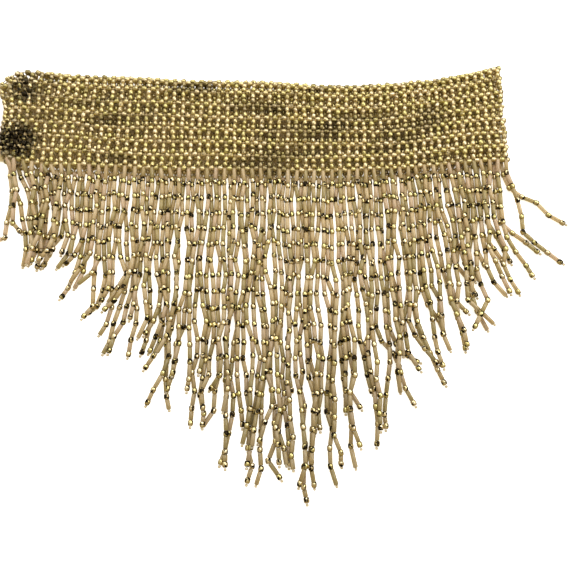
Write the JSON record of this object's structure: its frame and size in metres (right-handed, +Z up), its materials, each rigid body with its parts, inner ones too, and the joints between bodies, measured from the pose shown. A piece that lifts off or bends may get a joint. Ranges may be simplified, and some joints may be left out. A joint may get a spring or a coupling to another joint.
{
  "type": "belly dance hip belt",
  "caption": "Stretch hip belt of gold bead net, a closed ring laid flat, with a V-shaped fringe of beaded strands along its lower edge.",
  "frame": {"origin": "under the middle of the band, on the flat underside of its back layer, where the belt lies on a surface", "axes": "+X along the band towards the pressed fold, +Y from the fringe towards the band's upper edge, +Z up out of the surface"},
  "size_m": [0.4129, 0.3127, 0.0121],
  "materials": {
    "bead_net": "polished metallic gold beads",
    "strands": "gold beads and pale champagne glass tubes on thread"
  },
  "bodies": {
    "root": {"band_front": "bead_net", "band_back": "bead_net", "fringe_front": "strands", "fringe_back": "strands"}
  },
  "joints": []
}
